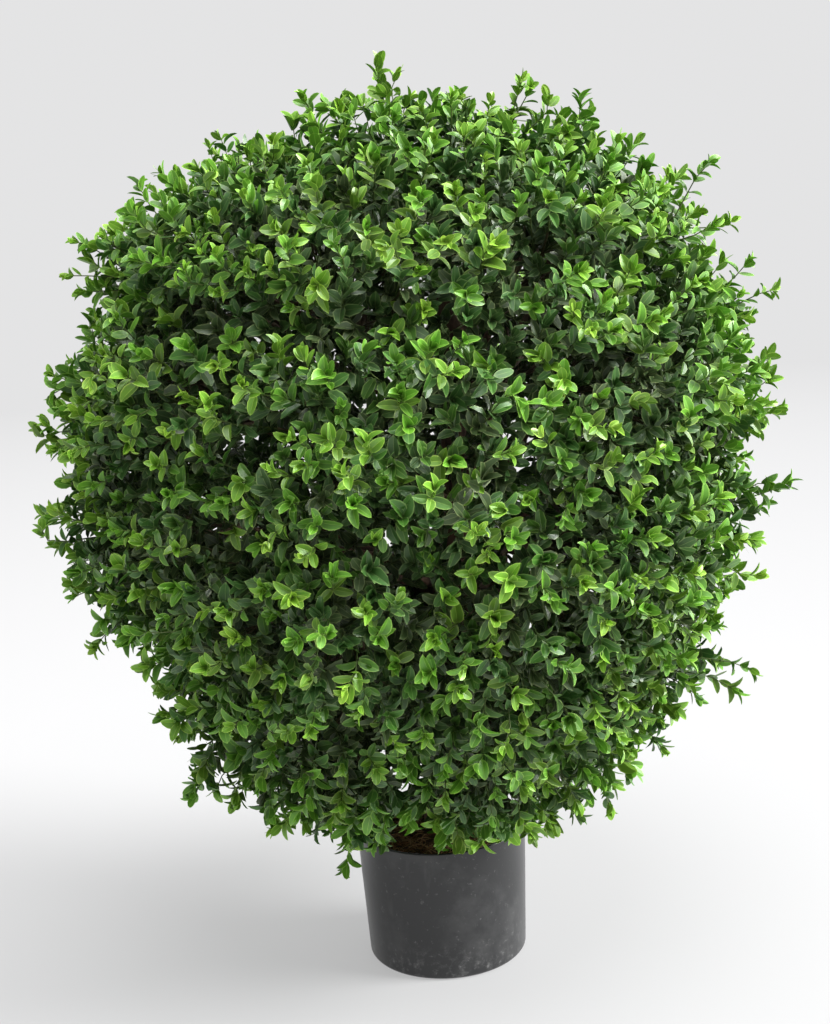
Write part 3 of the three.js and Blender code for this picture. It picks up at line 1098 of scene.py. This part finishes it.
# Painted shade: each blade darkens towards its base, where the leaves crowd at the rosette's
# centre, and grows a little lighter towards its tip.
painted_base_shade = graded(leaf_marks_and_painted_light, parts.outputs[1], 0.05, 0.75, 0.62, 1.12)
blade = add(leaf_marks_and_painted_light, "HueSaturation", {"Color": given["Blade"], "Value": painted_base_shade})
marked = blended(leaf_marks_and_painted_light, pale_marks_and_highlight, blade.outputs[0], given["Rim"])
leaf_marks_and_painted_light.links.new(marked, shown["Colour"])


def leaf_finish(name, tint):
    """Soft leaf plastic in one tint, with a paler rib and stalk, a paler rim that is partly its
    own colour and partly a painted highlight, and painted shade towards the blade's base.
    """
    material = finish(name, roughness=0.40)
    tree = material.node_tree
    tree.nodes["Principled BSDF"].inputs["Specular IOR Level"].default_value = 0.56
    place = add(tree, "UVMap", uv_map="OFBake").outputs[0]
    # The rim colour: a paler margin and a painted highlight.
    rim = [part * gain + lift for part, gain, lift in zip(tint, RIM_GAIN, RIM_LIFT)] + [1]
    values = {"Place": place, "Blade": tint, "Rim": rim}
    wear(material, tint, add(tree, "Group", values, node_tree=leaf_marks_and_painted_light).outputs["Colour"])
    return material


def along_shoots(distance):
    """Where a distance back from the tip falls on every shoot, and the shoot's heading there."""
    fine = drawn_out(shoot_controls, 17)[:, ::-1]
    steps = np.linalg.norm(np.diff(fine, axis=1), axis=2)
    travelled = np.concatenate([np.zeros((len(fine), 1)), np.cumsum(steps, 1)], 1)
    index = (travelled[:, 1:] < distance[:, None]).sum(1)
    fits = index < fine.shape[1] - 1
    index = np.minimum(index, fine.shape[1] - 2)
    rows = np.arange(len(fine))
    share = (distance - travelled[rows, index]) / steps[rows, index]
    a, b = fine[rows, index], fine[rows, index + 1]
    return a + (b - a) * share[:, None], unit(a - b), fits


def clear_of_pot(points):
    """Which points are outside the pot and above the coir."""
    outside = np.hypot(points[:, 0], points[:, 1]) > rim_radius + 0.001
    return outside | (points[:, 2] > pot_height + 0.0005)


# Each shoot is one spray, with a vigour that says how young its leaves are and one tint a kind.
shoot_tier = tip_tier[shoot_tips]
height_share = unit(tips[shoot_tips] - crown_centre)[:, 2]
standing_out = np.clip(0.5 + 0.72 * tip_clumping[shoot_tips] + 0.25 * height_share, 0, 1)
vigour = SPRAY_CHANCE * dice.random(len(shoots)) + (1 - SPRAY_CHANCE) * standing_out
least_vigour, more_vigour = np.array(TIER_VIGOUR)[shoot_tier].T
vigour_row = np.searchsorted(VIGOUR_STEPS, least_vigour + more_vigour * vigour)
spray_tint = dice.integers(0, 6, len(shoots))
first_turn = dice.random(len(shoots)) * math.tau
spray_size = np.clip(dice.normal(1, 0.11, len(shoots)), 0.75, 1.25)
found = {(kind, tint): [] for kind, tints in LEAF_TINTS.items() for tint in tints}
back = np.zeros(len(shoots))
kinds = list(LEAF_TINTS)
for pair in range(max(PAIRS)):
    back = back + PAIR_STEPS[pair] * dice.uniform(0.75, 1.3, len(shoots))
    places, headings, fits = along_shoots(back)
    fits &= pair < np.array(PAIRS)[shoot_tier]
    reference = np.where(np.abs(headings[:, 2:]) < 0.9, [[0.0, 0, 1]], [[1.0, 0, 0]])
    east = unit(np.cross(headings, reference))
    north = np.cross(headings, east)
    for half in (0, 1):
        turn = first_turn + pair * math.pi / 2 + half * math.pi
        turn = turn + dice.normal(0, LEAF_TURN, len(shoots))
        lean = np.radians(PAIR_ANGLES[pair] + dice.normal(0, LEAF_LEAN, len(shoots)))
        outward = east * np.cos(turn)[:, None] + north * np.sin(turn)[:, None]
        axes = headings * np.cos(lean)[:, None] + outward * np.sin(lean)[:, None]
        ups = headings * np.sin(lean)[:, None] - outward * np.cos(lean)[:, None]
        sides = np.cross(axes, ups)
        roll = dice.normal(0, LEAF_ROLL, len(shoots))
        sides = sides * np.cos(roll)[:, None] + ups * np.sin(roll)[:, None]
        base = places + outward * SHOOT_RADIUS * 0.6
        clear = clear_of_pot(base) & clear_of_pot(base + axes * 0.012)
        clear &= clear_of_pot(base + axes * 0.021)
        age = AGES[vigour_row, pair]
        drop = dice.random(len(shoots)) < PAIR_LOSS[0] + PAIR_LOSS[1] * pair
        size = dice.uniform(0, 1, len(shoots))
        slim = dice.uniform(*LEAF_SLIMNESS, len(shoots))
        curl = np.clip(dice.normal(1.0, 0.55, len(shoots)), -0.3, 2.4)
        for number, kind in enumerate(kinds):
            low, high = LEAF_SIZES[kind]
            tints = list(LEAF_TINTS[kind])
            for which, tint in enumerate(tints):
                use = fits & clear & ~drop & (age == number) & (spray_tint % len(tints) == which)
                length = (low + (high - low) * size) * spray_size
                leaf_columns = (base, sides, axes, length, length * slim, curl)
                found[kind, tint].append([column[use] for column in leaf_columns])
for (kind, tint), batches in found.items():
    name = "leaves_" + kind + "_" + tint
    blank = OLD_LEAF_BLANK if kind in ("old", "deep") else LEAF_BLANK
    leaf_mesh = joined_leaves(name, blank, *(np.concatenate(column) for column in zip(*batches)))
    leaves = piece(name, leaf_mesh, leaf_finish(name, LEAF_TINTS[kind][tint]))
    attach(leaves, "root")
    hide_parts(*foliage_nodes)

# ---------------------------------------------------------------------------------------- stage
# A plain pale floor that runs out into an even pale background, a large soft light from the
# right and a weaker one from above, and a camera that looks down on it a little.
FLOOR_RADIUS = 7.0
BACKGROUND = (0.775, 0.775, 0.780, 1)
WINDOW_SIDE = (0.88, 0.30, 0.37)
ROOM_LIGHT = (0.43, 1.88)  # away from the window side, and towards it
FLOOR_COLOUR = (0.55, 0.55, 0.554, 1)
EYE = Vector((-0.0065, -1.662, 0.845))
PITCH = math.radians(12.7)
ROLL = math.radians(3.64)
LENS = 59.77

stage = bmesh.new()
bmesh.ops.create_circle(stage, cap_ends=True, radius=FLOOR_RADIUS, segments=96)
floor_paint = finish("floor_paint", roughness=0.6)
tree = floor_paint.node_tree
at = add(tree, "TexCoord").outputs["Object"]
distance = add(tree, "VectorMath", {0: at}, operation="LENGTH").outputs["Value"]
shader = tree.nodes["Principled BSDF"]
shader.inputs["Base Color"].default_value = FLOOR_COLOUR
shader.inputs["Specular IOR Level"].default_value = 0.2
glow = add(tree, "Emission", {"Color": BACKGROUND, "Strength": 1})
over = add(tree, "MixShader", {0: graded(tree, distance, 1.0, 4.2, 0.52, 1)})
tree.links.new(shader.outputs[0], over.inputs[1])
tree.links.new(glow.outputs[0], over.inputs[2])
tree.links.new(over.outputs[0], tree.nodes["Material Output"].inputs["Surface"])
floor = piece("floor", stage, floor_paint, smooth=False)

world = bpy.data.worlds.new("studio")
world.use_nodes = True
tree = world.node_tree
room = tree.nodes["Background"]
room.inputs["Color"].default_value = BACKGROUND
direction = add(tree, "TexCoord").outputs["Generated"]
facing = add(tree, "VectorMath", {0: direction, 1: WINDOW_SIDE}, operation="DOT_PRODUCT")
tree.links.new(
    graded(tree, facing.outputs["Value"], -0.3, 0.95, *ROOM_LIGHT), room.inputs["Strength"]
)
backdrop = add(tree, "Background", {"Color": BACKGROUND, "Strength": 1})
seen = add(tree, "MixShader", {0: add(tree, "LightPath").outputs["Is Camera Ray"]})
tree.links.new(room.outputs[0], seen.inputs[1])
tree.links.new(backdrop.outputs[0], seen.inputs[2])
tree.links.new(seen.outputs[0], tree.nodes["World Output"].inputs["Surface"])
bpy.context.scene.world = world
bpy.context.scene.view_settings.view_transform = "Standard"


def soft_light(name, towards, strength, spread):
    """A large far light. `spread` is the angle that it fills, seen from the plant."""
    lamp = bpy.data.lights.new(name, "SUN")
    lamp.energy = strength
    lamp.angle = math.radians(spread)
    holder = bpy.data.objects.new(name, lamp)
    holder.rotation_euler = Vector(towards).to_track_quat("Z", "Y").to_euler()
    bpy.context.scene.collection.objects.link(holder)


soft_light("key", (4.3, -0.7, 2.8), 5.25, 26)
soft_light("top", (0.2, -1.1, 4.0), 1.8, 32)

right = Vector((1, 0, 0))
up = Vector((0, math.sin(PITCH), math.cos(PITCH)))
forward = Vector((0, math.cos(PITCH), -math.sin(PITCH)))
camera_right = right * math.cos(ROLL) - up * math.sin(ROLL)
camera_up = right * math.sin(ROLL) + up * math.cos(ROLL)
turn = Matrix((camera_right, camera_up, -forward)).transposed().to_4x4()
lens = bpy.data.cameras.new("camera")
lens.lens = LENS
lens.sensor_width = 36
camera = bpy.data.objects.new("camera", lens)
camera.matrix_world = Matrix.Translation(EYE) @ turn
bpy.context.scene.collection.objects.link(camera)
bpy.context.scene.camera = camera
